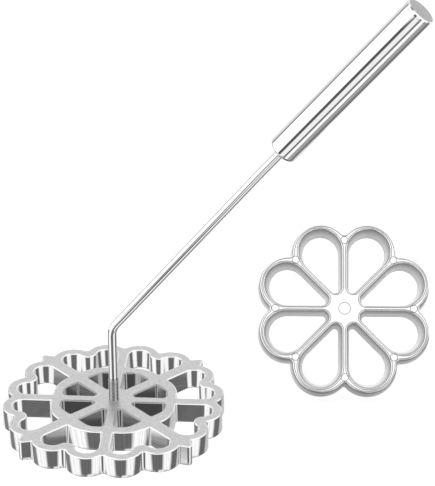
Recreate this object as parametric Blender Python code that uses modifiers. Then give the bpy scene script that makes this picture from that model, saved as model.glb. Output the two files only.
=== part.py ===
# Rosette iron: two cast aluminium moulds and a bent steel rod with a tubular grip.
# The rosette mould lies flat with its middle on the origin and the rod screws into its hub.
# The loose flower mould stands beside it on two petals, leaning back.

import math

import bmesh
import bpy
from mathutils import Vector

MM = 0.001

# Clearances and finish shared by all pieces
SEAT_GAP = 0.3 * MM
MERGE_DISTANCE = 0.001 * MM
CUT_OVERRUN = 2.0 * MM
ARC_STEP = math.radians(15)
SHARP_ANGLE = math.radians(35)

# Thread of the rod and of both moulds
THREAD_DIAMETER = 5.0 * MM
TAPPED_DEPTH = 8.5 * MM
THREAD_STAND = 12.4 * MM
THREAD_RUN_OUT = 0.8 * MM
THREAD_LEAD_IN = 0.5 * MM
THREAD_STEPS = 20

# Rosette mould, measured from its middle
ROSETTE_HEIGHT = 10.5 * MM
ROSETTE_EDGE_BREAK = 0.3 * MM
AXIS_REACH = 53.3 * MM
CORNER_REACH = 54.1 * MM
TIP_PROJECTION = 2.8 * MM
TIP_ROUND = 0.6 * MM
TIP_ROOT_ROUND = 0.8 * MM
LOBE_RADIUS = 10.3 * MM
ROSETTE_WALL = 4.8 * MM
CLEFT_RADIUS = 1.75 * MM
CUSP_RADIUS = 4.5 * MM
AXIS_SPOKE_WIDTH = 5.2 * MM
CORNER_SPOKE_WIDTH = 6.7 * MM
RING_AXIS_REACH = 25.1 * MM
RING_AXIS_WIDTH = 5.2 * MM
RING_CORNER_SETBACK = 0.9 * MM
RING_CORNER_REACH = RING_AXIS_REACH - RING_CORNER_SETBACK
RING_CORNER_WIDTH = 7.0 * MM
RING_OUTER_BEND = 18.0 * MM
RING_INNER_BEND = 6.0 * MM
HEART_ROUND = 1.0 * MM
CELL_ROUND = 1.75 * MM
CELL_CORNER_ROUND = 0.8 * MM
CELL_TIP_ROUND = 1.5 * MM

# Flower mould, sizes at its narrow dipping face
FLOWER_HEIGHT = 12.0 * MM
FLOWER_DRAFT = 1.25 * MM
CELL_FLARE = 0.5 * MM
CELL_CROWN_FLARE = 1.65 * MM
FLOWER_EDGE_ROUND = 0.6 * MM
FLOWER_REACH = 44.15 * MM
PETAL_RADIUS = 14.0 * MM
PETAL_RIM = 1.9 * MM
PETAL_NOTCH_RADIUS = 2.2 * MM
FLOWER_SPOKE_WIDTH = 2.3 * MM
FLOWER_HUB_REACH = 8.4 * MM
PETALS = 8
ROUND_RINGS = 3

# Where the loose flower mould stands, and how far it is turned about the upright
FLOWER_LEAN = math.radians(36)
FLOWER_TURN = math.radians(2.4)
FLOWER_ASIDE = 110.85 * MM
FLOWER_BACK = 50.65 * MM

# Bent rod: a tight bend above the mould and a slight set just before the grip
ROD_DIAMETER = 4.4 * MM
BEND_HEIGHT = 39.1 * MM
BEND_RADIUS = 10.5 * MM
ROD_RISE = math.radians(51.1)
GRIP_RISE = math.radians(50.2)
ROD_REACH = 129.0 * MM
ROD_TAIL = 14.0 * MM
SET_BEFORE_NOSE = 14.0 * MM
SET_RADIUS = 200.0 * MM
BEND_STEP = math.radians(6.5)
ROD_BEVEL_RESOLUTION = 6
CLOCKING = math.radians(-10)

# Tubular grip, from its nose to its butt
GRIP_DIAMETER = 14.0 * MM
GRIP_LENGTH = 90.0 * MM
GRIP_WALL = 1.0 * MM
NOSE_WALL = 1.6 * MM
NOSE_ROUND = 1.8 * MM
PLUG_LENGTH = 18.0 * MM
PLUG_EDGE_BREAK = 0.5 * MM
CAP_THICKNESS = 1.6 * MM
CAP_EDGE_BREAK = 0.5 * MM
CAP_SPIGOT = 5.0 * MM
TURNED_STEPS = 32

HALF_TURN = math.pi
QUARTER_TURN = math.pi / 2
FULL_TURN = 2 * math.pi
ROOT_TWO = math.sqrt(2)
QUARTERS = 4

# How far out a bridging pin stands at least, as a share of half the gap that it bridges
BRIDGE_RISE_SHARE = 0.3


# Scene and materials

def clear_scene():
    for old in list(bpy.data.objects):
        bpy.data.objects.remove(old, do_unlink=True)


def make_collection(name):
    group = bpy.data.collections.new(name)
    bpy.context.scene.collection.children.link(group)
    return group


def make_material(name, colour, roughness):
    material = bpy.data.materials.new(name)
    material.use_nodes = True
    shader = material.node_tree.nodes["Principled BSDF"]
    shader.inputs["Base Color"].default_value = (*colour, 1.0)
    shader.inputs["Roughness"].default_value = roughness
    shader.inputs["Metallic"].default_value = 1.0
    return material


def place(item, group, material=None, parent=None):
    group.objects.link(item)
    item.parent = parent
    if material:
        item.data.materials.append(material)
    return item


def make_empty(name, group, location, turn=(0, 0, 0), parent=None):
    empty = bpy.data.objects.new(name, None)
    empty.location = location
    empty.rotation_euler = turn
    return place(empty, group, parent=parent)


def shade(mesh):
    mesh.shade_smooth()
    mesh.set_sharp_from_angle(angle=SHARP_ANGLE)


# Outlines drawn as a belt round pins: side +1 turns left round a pin, side -1 turns right

def pin(along, across, radius, side=1):
    return Vector((along, across)), radius, side


def belt_direction(first, second):
    (start, start_radius, start_side), (end, end_radius, end_side) = first, second
    gap = end - start
    swing = (end_side * end_radius - start_side * start_radius) / gap.length
    # Pins that just touch can round to a hair over one
    return math.atan2(gap.y, gap.x) - math.asin(max(-1, min(1, swing)))


# Each station of an outline is a point and the direction square to the edge, out of the belt
# Paired pins take the same stations, so that an outline at the foot matches the one at the crown

def belt(pins, paired=None):
    spots = []
    stations = []
    count = len(pins)
    for index, (centre, radius, side) in enumerate(pins):
        paired_centre, paired_radius, _ = (paired or pins)[index]
        arrive = belt_direction(pins[index - 1], pins[index])
        leave = belt_direction(pins[index], pins[(index + 1) % count])
        turn = side * ((side * (leave - arrive)) % FULL_TURN)
        steps = max(1, math.ceil(abs(turn) / ARC_STEP))
        for step in range(steps + 1):
            heading = arrive + turn * step / steps
            outward = Vector((math.sin(heading), -math.cos(heading)))
            point = centre + side * radius * outward
            if not spots or (point - spots[-1]).length > MERGE_DISTANCE:
                spots.append(point)
                stations.append((paired_centre + side * paired_radius * outward, outward))
    if (spots[0] - spots[-1]).length <= MERGE_DISTANCE:
        stations.pop()
    return stations


def turned(spot, turn):
    cosine, sine = math.cos(turn), math.sin(turn)
    return Vector((spot.x * cosine - spot.y * sine, spot.x * sine + spot.y * cosine))


def moved_pins(pins, turn, mirrored):
    moved = []
    for centre, radius, side in reversed(pins) if mirrored else pins:
        start = Vector((centre.x, -centre.y)) if mirrored else centre
        moved.append((turned(start, turn), radius, side))
    return moved


# A pin that touches two equal round pins from outside, grown where its own radius can't span their gap

def bridge_pin(first, second, touching_radius, radius):
    middle = (first + second) / 2
    half_gap = (second - first).length / 2
    reach = max(touching_radius + radius, half_gap * math.hypot(1, BRIDGE_RISE_SHARE))
    rise = math.sqrt(reach ** 2 - half_gap ** 2)
    spot = middle + rise * (Vector((second.y - first.y, first.x - second.x)).normalized())
    return spot, reach - touching_radius, -1


# Turns distances along and across the 45 degree line into a place

def corner_place(along, across):
    return Vector(((along + across) / ROOT_TWO, (along - across) / ROOT_TWO))


# Solids

# Each outline is a pair, at the foot and above it, with a growth of 1 outside and -1 for a cell

def cast_solid(name, outlines, sections, group, material, parent):
    shape = bmesh.new()
    caps = ([], [])
    for foot, crown, growth in outlines:
        rings = []
        for height, swell in sections:
            stations = crown if height > 0 else foot
            spots = [point + growth * swell * outward for point, outward in stations]
            rings.append([shape.verts.new((spot.x, spot.y, height)) for spot in spots])
        for lower, upper in zip(rings, rings[1:]):
            for index, vertex in enumerate(lower):
                corners = (lower[index - 1], vertex, upper[index], upper[index - 1])
                shape.faces.new(corners if growth > 0 else corners[::-1])
        for cap, ring in zip(caps, (rings[0], rings[-1])):
            cap.extend(shape.edges.get((ring[index - 1], vertex)) for index, vertex in enumerate(ring))
    for cap in caps:
        bmesh.ops.triangle_fill(shape, use_beauty=True, edges=cap)
    bmesh.ops.recalc_face_normals(shape, faces=shape.faces)
    mesh = bpy.data.meshes.new(name)
    shape.to_mesh(mesh)
    shape.free()
    shade(mesh)
    return place(bpy.data.objects.new(name, mesh), group, material, parent)


# A profile is a run of corners (radius, height, corner round), down its outer side

def rounded_profile(corners, closed, arc_step=ARC_STEP):
    points = []
    count = len(corners)
    for index, (reach, height, bend) in enumerate(corners):
        corner = Vector((reach, height))
        if bend == 0 or (not closed and index in (0, count - 1)):
            points.append(corner)
            continue
        before = (Vector(corners[index - 1][:2]) - corner).normalized()
        after = (Vector(corners[(index + 1) % count][:2]) - corner).normalized()
        half_angle = before.angle(after) / 2
        centre = corner + (before + after).normalized() * bend / math.sin(half_angle)
        start = corner + before * bend / math.tan(half_angle) - centre
        sweep = start.angle_signed(corner + after * bend / math.tan(half_angle) - centre)
        steps = max(1, math.ceil(abs(sweep) / arc_step))
        for step in range(steps + 1):
            swing = -sweep * step / steps
            points.append(centre + turned(start, swing))
    return points


def turned_solid(name, corners, closed, steps, group, material, parent):
    points = rounded_profile(corners, closed)
    edges = [(index, index + 1) for index in range(len(points) - 1)]
    if closed:
        edges.append((len(points) - 1, 0))
    mesh = bpy.data.meshes.new(name)
    mesh.from_pydata([(point.x, 0, point.y) for point in points], edges, [])
    solid = place(bpy.data.objects.new(name, mesh), group, material, parent)
    screw = solid.modifiers.new("turn", "SCREW")
    screw.axis = "Z"
    screw.angle = FULL_TURN
    screw.steps = steps
    screw.render_steps = steps
    screw.use_merge_vertices = True
    screw.merge_threshold = MERGE_DISTANCE
    screw.use_smooth_shade = True
    return solid


def tap_hole(mould, name, start_height, depth, group, parent):
    shape = bmesh.new()
    bore = THREAD_DIAMETER / 2 + SEAT_GAP
    length = depth + CUT_OVERRUN
    bmesh.ops.create_cone(
        shape, cap_ends=True, segments=THREAD_STEPS, radius1=bore, radius2=bore, depth=length)
    mesh = bpy.data.meshes.new(name)
    shape.to_mesh(mesh)
    shape.free()
    cutter = place(bpy.data.objects.new(name, mesh), group, parent=parent)
    cutter.location.z = start_height
    cutter.hide_render = True
    cutter.display_type = "WIRE"
    cut = mould.modifiers.new("tapped hole", "BOOLEAN")
    cut.operation = "DIFFERENCE"
    cut.solver = "EXACT"
    cut.object = cutter


# Rosette mould: sixteen lobes, a pointed tip between lobes on each 45 degree spoke, eight
# heart-shaped cells outside the ring and eight wedge cells inside it

def lobe_places():
    hollow = LOBE_RADIUS - ROSETTE_WALL
    axis_lobe = Vector((AXIS_REACH - LOBE_RADIUS, AXIS_SPOKE_WIDTH / 2 + hollow))
    corner_lobe = corner_place(CORNER_REACH - LOBE_RADIUS, CORNER_SPOKE_WIDTH / 2 + hollow)
    return axis_lobe, corner_lobe


def rosette_outline():
    axis_lobe, corner_lobe = lobe_places()
    mirrored_lobe = Vector((axis_lobe.x, -axis_lobe.y))
    edge = (CORNER_REACH + TIP_PROJECTION) / ROOT_TWO
    root_reach = LOBE_RADIUS + TIP_ROOT_ROUND
    root_rise = math.sqrt(root_reach ** 2 - (edge + TIP_ROOT_ROUND - corner_lobe.x) ** 2)
    notch = bridge_pin(mirrored_lobe, axis_lobe, LOBE_RADIUS, CLEFT_RADIUS)
    half = [
        pin(*axis_lobe, LOBE_RADIUS),
        bridge_pin(axis_lobe, corner_lobe, LOBE_RADIUS, CLEFT_RADIUS),
        pin(*corner_lobe, LOBE_RADIUS),
        pin(edge + TIP_ROOT_ROUND, corner_lobe.y + root_rise, TIP_ROOT_ROUND, -1),
    ]
    tip = pin(edge - TIP_ROUND, edge - TIP_ROUND, TIP_ROUND)
    quarter = [notch] + half + [tip] + moved_pins(half, QUARTER_TURN, True)
    pins = []
    for corner in range(QUARTERS):
        pins += moved_pins(quarter, corner * QUARTER_TURN, False)
    return belt(pins)


def heart_pins():
    axis_lobe, corner_lobe = lobe_places()
    hollow = LOBE_RADIUS - ROSETTE_WALL
    ring_axis = RING_AXIS_REACH + RING_AXIS_WIDTH
    ring_corner = RING_CORNER_REACH + RING_CORNER_WIDTH
    inner_corner = corner_place(ring_corner + CELL_CORNER_ROUND, CORNER_SPOKE_WIDTH / 2 + CELL_CORNER_ROUND)
    bend_x = ring_axis - RING_OUTER_BEND
    bend_y = ROOT_TWO * (ring_corner - RING_OUTER_BEND) - bend_x
    return [
        pin(ring_axis + HEART_ROUND, AXIS_SPOKE_WIDTH / 2 + HEART_ROUND, HEART_ROUND),
        pin(*axis_lobe, hollow),
        bridge_pin(axis_lobe, corner_lobe, hollow, CUSP_RADIUS),
        pin(*corner_lobe, hollow),
        pin(*inner_corner, CELL_CORNER_ROUND),
        pin(bend_x, bend_y, RING_OUTER_BEND, -1),
    ]


def wedge_pins():
    axis_side = AXIS_SPOKE_WIDTH / 2
    corner_side = CORNER_SPOKE_WIDTH / 2
    tip_y = axis_side + CELL_TIP_ROUND
    tip_x = tip_y + ROOT_TWO * (corner_side + CELL_TIP_ROUND)
    far_corner = corner_place(RING_CORNER_REACH - CELL_CORNER_ROUND, corner_side + CELL_CORNER_ROUND)
    bend_x = RING_AXIS_REACH - RING_INNER_BEND
    bend_y = ROOT_TWO * (RING_CORNER_REACH - RING_INNER_BEND) - bend_x
    return [
        pin(tip_x, tip_y, CELL_TIP_ROUND),
        pin(RING_AXIS_REACH - CELL_ROUND, axis_side + CELL_ROUND, CELL_ROUND),
        pin(bend_x, bend_y, RING_INNER_BEND),
        pin(*far_corner, CELL_CORNER_ROUND),
    ]


def make_rosette(group, cutters, material):
    rim = rosette_outline()
    outlines = [(rim, rim, 1)]
    for pins in (heart_pins(), wedge_pins()):
        for corner in range(QUARTERS):
            for mirrored in (False, True):
                cell = belt(moved_pins(pins, corner * QUARTER_TURN, mirrored))
                outlines.append((cell, cell, -1))
    edge = ROSETTE_EDGE_BREAK
    sections = [(0, -edge), (edge, 0), (ROSETTE_HEIGHT - edge, 0), (ROSETTE_HEIGHT, -edge)]
    mould = cast_solid("rosette_mould", outlines, sections, group, material, None)
    hole_middle = ROSETTE_HEIGHT + (CUT_OVERRUN - TAPPED_DEPTH) / 2
    tap_hole(mould, "rosette_tapped_hole", hole_middle, TAPPED_DEPTH, cutters, None)


# Flower mould: eight petals with drafted walls and a rounded dipping face, tapped from its back

def flower_outline():
    half_petal = HALF_TURN / PETALS
    petal_middle = FLOWER_REACH - PETAL_RADIUS
    petal = Vector((petal_middle * math.cos(half_petal), petal_middle * math.sin(half_petal)))
    below = Vector((petal.x, -petal.y))
    pair = [bridge_pin(below, petal, PETAL_RADIUS, PETAL_NOTCH_RADIUS), pin(*petal, PETAL_RADIUS)]
    pins = []
    for index in range(PETALS):
        pins += moved_pins(pair, index * FULL_TURN / PETALS, False)
    return belt(pins)


def petal_pins(index, flare, crown_flare):
    half_petal = HALF_TURN / PETALS
    lean = math.sin(half_petal)
    side = FLOWER_SPOKE_WIDTH / 2 + flare
    root_reach = FLOWER_HUB_REACH + flare
    crown_reach = FLOWER_REACH - PETAL_RIM - crown_flare
    crown_limit = PETAL_RADIUS - PETAL_RIM - crown_flare
    crown_radius = min((crown_reach * lean - side) / (1 + lean), crown_limit)
    root_radius = (root_reach * lean - side) / (1 - lean)
    pins = [
        pin(root_reach + root_radius, 0, root_radius),
        pin(crown_reach - crown_radius, 0, crown_radius),
    ]
    return moved_pins(pins, (2 * index + 1) * half_petal, False)


def flower_sections():
    sections = [(0, FLOWER_DRAFT)]
    for ring in range(ROUND_RINGS):
        swing = QUARTER_TURN * ring / (ROUND_RINGS - 1)
        height = FLOWER_HEIGHT - FLOWER_EDGE_ROUND * (1 - math.sin(swing))
        sections.append((height, -FLOWER_EDGE_ROUND * (1 - math.cos(swing))))
    return sections


def make_flower(group, cutters, material):
    petal_middle = (FLOWER_REACH - PETAL_RADIUS) * math.cos(HALF_TURN / PETALS)
    lowest = petal_middle + PETAL_RADIUS + FLOWER_DRAFT
    spot = (FLOWER_ASIDE, FLOWER_BACK, lowest * math.cos(FLOWER_LEAN))
    stand = make_empty("flower_stand", group, spot, (QUARTER_TURN - FLOWER_LEAN, 0, FLOWER_TURN))
    rim = flower_outline()
    outlines = [(rim, rim, 1)]
    for index in range(PETALS):
        crown = petal_pins(index, 0, 0)
        foot = petal_pins(index, CELL_FLARE, CELL_CROWN_FLARE)
        outlines.append((belt(crown, foot), belt(crown), -1))
    mould = cast_solid("flower_mould", outlines, flower_sections(), group, material, stand)
    hole_middle = (TAPPED_DEPTH - CUT_OVERRUN) / 2
    tap_hole(mould, "flower_tapped_hole", hole_middle, TAPPED_DEPTH, cutters, stand)


# Handle: threaded end, bent rod, tube, inner plug and end cap

def make_threaded_end(group, material, turn_axis):
    radius = THREAD_DIAMETER / 2
    bottom = SEAT_GAP - TAPPED_DEPTH
    corners = [
        (0, THREAD_STAND, 0),
        (ROD_DIAMETER / 2, THREAD_STAND, 0),
        (radius, THREAD_STAND - THREAD_RUN_OUT, 0),
        (radius, bottom + THREAD_LEAD_IN, 0),
        (radius - THREAD_LEAD_IN, bottom, 0),
        (0, bottom, 0),
    ]
    turned_solid("threaded_end", corners, False, THREAD_STEPS, group, material, turn_axis)


# A spot on the rod's middle line, at a distance from its first bend

def rod_spot(distance):
    before = min(distance, ROD_REACH - SET_BEFORE_NOSE)
    after = distance - before
    run = before * math.cos(ROD_RISE) + after * math.cos(GRIP_RISE)
    rise = before * math.sin(ROD_RISE) + after * math.sin(GRIP_RISE)
    return run, BEND_HEIGHT + rise


def rod_route():
    corners = [
        (0, THREAD_STAND + SEAT_GAP, 0),
        (*rod_spot(0), BEND_RADIUS),
        (*rod_spot(ROD_REACH - SET_BEFORE_NOSE), SET_RADIUS),
        (*rod_spot(ROD_REACH + ROD_TAIL), 0),
    ]
    return [Vector((point.x, 0, point.y)) for point in rounded_profile(corners, False, BEND_STEP)]


def make_rod(group, material, turn_axis):
    route = rod_route()
    curve = bpy.data.curves.new("bent_rod", "CURVE")
    curve.dimensions = "3D"
    spline = curve.splines.new("POLY")
    spline.points.add(len(route) - 1)
    for point, spot in zip(spline.points, route):
        point.co = (*spot, 1)
    spline.use_smooth = True
    curve.bevel_depth = ROD_DIAMETER / 2
    curve.bevel_resolution = ROD_BEVEL_RESOLUTION
    curve.use_fill_caps = True
    place(bpy.data.objects.new("bent_rod", curve), group, material, turn_axis)


def make_grip(group, steel, grip_axis):
    outside = GRIP_DIAMETER / 2
    bore = outside - GRIP_WALL
    rod_hole = ROD_DIAMETER / 2 + SEAT_GAP
    tube = [
        (outside, GRIP_LENGTH, 0),
        (outside, 0, NOSE_ROUND),
        (rod_hole, 0, 0),
        (rod_hole, NOSE_WALL, 0),
        (bore, NOSE_WALL, 0),
        (bore, GRIP_LENGTH, 0),
    ]
    turned_solid("handle_tube", tube, True, TURNED_STEPS, group, steel, grip_axis)

    fit = bore - SEAT_GAP
    plug_start = NOSE_WALL + SEAT_GAP
    plug_end = plug_start + PLUG_LENGTH
    plug = [
        (0, plug_end, 0),
        (fit - PLUG_EDGE_BREAK, plug_end, 0),
        (fit, plug_end - PLUG_EDGE_BREAK, 0),
        (fit, plug_start + PLUG_EDGE_BREAK, 0),
        (fit - PLUG_EDGE_BREAK, plug_start, 0),
        (rod_hole, plug_start, 0),
        (rod_hole, ROD_TAIL + SEAT_GAP, 0),
        (0, ROD_TAIL + SEAT_GAP, 0),
    ]
    turned_solid("rod_plug", plug, False, TURNED_STEPS, group, steel, grip_axis)

    cap_start = GRIP_LENGTH + SEAT_GAP
    cap_end = cap_start + CAP_THICKNESS
    cap = [
        (0, cap_end, 0),
        (outside - CAP_EDGE_BREAK, cap_end, 0),
        (outside, cap_end - CAP_EDGE_BREAK, 0),
        (outside, cap_start, 0),
        (fit, cap_start, 0),
        (fit, cap_start - CAP_SPIGOT, 0),
        (0, cap_start - CAP_SPIGOT, 0),
    ]
    turned_solid("end_cap", cap, False, TURNED_STEPS, group, steel, grip_axis)


def make_handle(group, steel):
    turn_axis = make_empty("thread_axis", group, (0, 0, ROSETTE_HEIGHT), (0, 0, CLOCKING))
    make_threaded_end(group, steel, turn_axis)
    make_rod(group, steel, turn_axis)
    run, rise = rod_spot(ROD_REACH)
    grip_axis = make_empty("grip_axis", group, (run, 0, rise), (0, QUARTER_TURN - GRIP_RISE, 0), turn_axis)
    make_grip(group, steel, grip_axis)


def main():
    clear_scene()
    group = make_collection("rosette_iron")
    cutters = make_collection("rosette_iron_cutters")
    steel = make_material("polished stainless steel", (0.72, 0.72, 0.73), 0.12)
    aluminium = make_material("machined aluminium", (0.76, 0.76, 0.77), 0.25)
    cast = make_material("satin cast aluminium", (0.86, 0.86, 0.87), 0.4)
    make_rosette(group, cutters, aluminium)
    make_flower(group, cutters, cast)
    make_handle(group, steel)


main()
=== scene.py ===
import math

import bmesh
import bpy
from mathutils import Euler, Matrix, Vector


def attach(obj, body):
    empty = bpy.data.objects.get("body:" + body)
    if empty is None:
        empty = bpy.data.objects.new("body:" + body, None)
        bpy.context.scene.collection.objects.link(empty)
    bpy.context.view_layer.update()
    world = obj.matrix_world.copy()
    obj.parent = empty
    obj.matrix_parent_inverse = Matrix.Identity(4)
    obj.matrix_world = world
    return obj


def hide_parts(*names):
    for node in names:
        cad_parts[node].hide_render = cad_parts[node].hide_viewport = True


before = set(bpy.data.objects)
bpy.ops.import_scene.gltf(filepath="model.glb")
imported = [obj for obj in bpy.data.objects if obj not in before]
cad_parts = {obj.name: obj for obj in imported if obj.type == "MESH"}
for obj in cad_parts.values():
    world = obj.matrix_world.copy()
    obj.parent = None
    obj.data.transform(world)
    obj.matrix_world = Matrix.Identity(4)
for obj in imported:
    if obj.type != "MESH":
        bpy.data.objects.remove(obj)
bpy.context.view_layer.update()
mm = 0.001
fullTurn = 2 * math.pi
rootTwo = math.sqrt(2)
arcStep = math.radians(5)  # one facet of a curved wall
turnStep = math.radians(12)  # one facet of a turned piece's rounding
mergeGap = 0.0005 * mm
nearestPoints = 0.02 * mm  # closer points of an outline are one
sharpAngle = math.radians(38)
flatFrom = 0.9999  # how upright a flat face is at least
slantFrom, slantTo = 0.3, 0.98  # how upright the slanted faces are that take the edge colour
noiseLow, noiseHigh = 0.3, 0.7  # most of a noise lies between
print("frame loaded with", len(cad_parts), "nodes")


# small helpers for node trees

def addNode(tree, kind, values=None, **settings):
    node = tree.nodes.new(kind)
    for key, value in settings.items():
        setattr(node, key, value)
    for key, value in (values or {}).items():
        if isinstance(value, bpy.types.NodeSocket):
            tree.links.new(value, node.inputs[key])
        else:
            node.inputs[key].default_value = value
    return node


def calc(tree, operation, *values):
    return addNode(tree, "ShaderNodeMath", dict(enumerate(values)), operation=operation).outputs[0]


def blendLevels(tree, share, below, above):
    return addNode(tree, "ShaderNodeMix", {0: share, 2: below, 3: above},
                   data_type="FLOAT").outputs[0]


def mapRange(tree, value, start, end, low, high, kind="LINEAR"):
    return addNode(tree, "ShaderNodeMapRange",
                   {"Value": value, "From Min": start, "From Max": end, "To Min": low,
                    "To Max": high}, interpolation_type=kind).outputs[0]


def vectorCalc(tree, operation, first, second=None):
    values = {0: first}
    if second is not None:
        values["Scale" if operation == "SCALE" else 1] = second
    node = addNode(tree, "ShaderNodeVectorMath", values, operation=operation)
    return node.outputs["Value" if operation in ("DOT_PRODUCT", "LENGTH") else "Vector"]


def lift(tree, geometry, height):
    offset = addNode(tree, "ShaderNodeCombineXYZ", {"Z": height}).outputs[0]
    return addNode(tree, "GeometryNodeSetPosition",
                   {"Geometry": geometry, "Offset": offset}).outputs[0]


def joinParts(tree, parts):
    whole = tree.nodes.new("GeometryNodeJoinGeometry")
    for part in parts:
        tree.links.new(part, whole.inputs[0])
    return whole.outputs[0]


def paint(tree, geometry, finish):
    return addNode(tree, "GeometryNodeSetMaterial",
                   {"Geometry": geometry, "Material": finish}).outputs[0]


def startTree(name, inputs):
    tree = bpy.data.node_groups.new(name, "GeometryNodeTree")
    tree.is_modifier = True
    tree.interface.new_socket("Geometry", in_out="INPUT", socket_type="NodeSocketGeometry")
    for label, kind in inputs.items():
        tree.interface.new_socket(label, in_out="INPUT", socket_type="NodeSocket" + kind)
    tree.interface.new_socket("Geometry", in_out="OUTPUT", socket_type="NodeSocketGeometry")
    return tree, tree.nodes.new("NodeGroupInput").outputs


def endTree(tree, geometry):
    out = tree.nodes.new("NodeGroupOutput")
    tree.links.new(geometry, out.inputs[0])
    return tree


# runs a tree on a source object and keeps what it makes as a plain mesh
def growPiece(name, source, tree, values, place):
    grow = source.modifiers.new(tree.name, "NODES")
    grow.node_group = tree
    for item in tree.interface.items_tree:
        if item.in_out == "INPUT" and item.name in values:
            grow[item.identifier] = values[item.name]
    bpy.context.view_layer.update()
    grown = source.evaluated_get(bpy.context.evaluated_depsgraph_get())
    mesh = bpy.data.meshes.new_from_object(grown)
    bpy.data.objects.remove(source)
    return keepMesh(name, mesh, place)


# faces square to the piece's own axis stay flat, and the slanted faces between take the finish's
# edge colour
def shadeMesh(mesh, place):
    axis = (place.to_3x3() @ Vector((0, 0, 1))).normalized()
    mesh.set_sharp_from_angle(angle=sharpAngle)
    slanted = mesh.attributes.get("slantedFace") or mesh.attributes.new("slantedFace", "FLOAT", "FACE")
    for face in mesh.polygons:
        upright = abs(face.normal.dot(axis))
        face.use_smooth = upright < flatFrom
        slanted.data[face.index].value = 1 if slantFrom < upright < slantTo else 0


def keepMesh(name, mesh, place):
    mesh.name = name
    mesh.transform(place)
    shadeMesh(mesh, place)
    piece = bpy.data.objects.new(name, mesh)
    bpy.context.scene.collection.objects.link(piece)
    return piece


def lineObject(name, points):
    mesh = bpy.data.meshes.new(name)
    mesh.from_pydata(points, [(index, index + 1) for index in range(len(points) - 1)], [])
    source = bpy.data.objects.new(name, mesh)
    bpy.context.scene.collection.objects.link(source)
    return source


def checkClosed(piece):
    shape = bmesh.new()
    shape.from_mesh(piece.data)
    loose = sum(1 for edge in shape.edges if len(edge.link_faces) != 2)
    print(f"{piece.name}: {len(shape.faces)} faces, {loose} open edges, "
          f"{shape.calc_volume(signed=True) / mm ** 3:.0f} cubic mm")
    shape.free()


# finishes: each is a Principled shader fed by noise in Object coordinates

def startFinish(name, colour, roughness, metal):
    material = bpy.data.materials.new(name)
    material.use_nodes = True
    tree = material.node_tree
    shader = tree.nodes["Principled BSDF"]
    shader.inputs["Base Color"].default_value = (*colour, 1)
    shader.inputs["Roughness"].default_value = roughness
    shader.inputs["Metallic"].default_value = metal
    return material, tree, shader


def patternPlace(tree, scale, turn=(0, 0, 0), centre=(0, 0, 0)):
    spot = tree.nodes.new("ShaderNodeTexCoord").outputs["Object"]
    centred = vectorCalc(tree, "SUBTRACT", spot, centre)
    turned = addNode(tree, "ShaderNodeMapping", {"Vector": centred, "Rotation": turn},
                     vector_type="POINT").outputs[0]
    return vectorCalc(tree, "MULTIPLY", turned, scale)


def grain(tree, vector, scale, detail=3.0):
    return addNode(tree, "ShaderNodeTexNoise",
                   {"Vector": vector, "Scale": scale, "Detail": detail}).outputs["Fac"]


def spread(tree, value, low, high):
    return mapRange(tree, value, noiseLow, noiseHigh, low, high)


def shadeOf(tree, value, dark, light):
    return addNode(tree, "ShaderNodeMix", {0: value, 6: (*dark, 1), 7: (*light, 1)},
                   data_type="RGBA").outputs[2]


# metal with a soft mottle, streaks along one direction and an edge colour on its slanted faces:
# lighter edges are partly wear and partly painted highlight
def metalFinish(name, look):
    metal = look.get("metal", 1)
    material, tree, shader = startFinish(name, look["light"], look["roughness"][0], metal)
    streakVector = patternPlace(tree, look["streakScale"], look.get("turn", (0, 0, 0)))
    plainVector = patternPlace(tree, (1, 1, 1))
    streaks = grain(tree, streakVector, 1.0, 4.0)
    mottle = grain(tree, plainVector, look["mottleScale"])
    speckle = grain(tree, plainVector, look["speckleScale"], 2.0)
    blend = calc(tree, "MULTIPLY_ADD", streaks, 0.5, calc(tree, "MULTIPLY", mottle, 0.5))
    tone = spread(tree, blend, 0.0, 1.0)
    colour = shadeOf(tree, tone, look["dark"], look["light"])
    # painted shade: the colour darkens towards the flower's front rim, each step reaching back from
    # it
    if "front" in look:
        centre, axis = look["front"]
        fromFront = patternPlace(tree, (1, 1, 1), centre=centre)
        away = vectorCalc(tree, "DOT_PRODUCT", fromFront, axis)
        for reach, share in look["frontShades"]:
            shade = mapRange(tree, away, -reach, -look["frontEdge"], 1.0, share)
            colour = vectorCalc(tree, "SCALE", colour, shade)
    slanted = addNode(tree, "ShaderNodeAttribute", attribute_name="slantedFace").outputs["Fac"]
    if metal < 1:
        tree.links.new(blendLevels(tree, slanted, metal, 1.0), shader.inputs["Metallic"])
    # edge colour on slanted faces: lighter edges are partly wear and partly painted highlight, and
    # threadSteel's darker edge colour darkens its flanks
    edged = addNode(tree, "ShaderNodeMix",
                    {0: calc(tree, "MULTIPLY", slanted, look["edgeShare"]), 6: colour,
                     7: (*look["edge"], 1)}, data_type="RGBA").outputs[2]
    # painted shade: the walls within this reach of the middle, those of the cells inside the ring,
    # are darker
    if "paintedShadeReach" in look:
        reach = vectorCalc(tree, "LENGTH", patternPlace(tree, (1, 1, 0)))
        paintedShade = mapRange(tree, reach, look["paintedShadeReach"] - look["paintedShadeSoft"],
                        look["paintedShadeReach"] + look["paintedShadeSoft"], look["paintedShadeShare"], 1.0)
        edged = vectorCalc(tree, "SCALE", edged, paintedShade)
    tree.links.new(edged, shader.inputs["Base Color"])
    fine = calc(tree, "MULTIPLY_ADD", speckle, 0.5, calc(tree, "MULTIPLY", streaks, 0.5))
    rough = spread(tree, fine, *look["roughness"])
    if "edgeRoughness" in look:
        rough = blendLevels(tree, slanted, rough, look["edgeRoughness"])
    tree.links.new(rough, shader.inputs["Roughness"])
    height = calc(tree, "MULTIPLY_ADD", streaks, look["streakShare"],
                  calc(tree, "MULTIPLY", speckle, 1 - look["streakShare"]))
    bump = addNode(tree, "ShaderNodeBump",
                   {"Height": height, "Strength": look["bump"], "Distance": look["bumpDepth"]})
    tree.links.new(bump.outputs[0], shader.inputs["Normal"])
    return material


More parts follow.
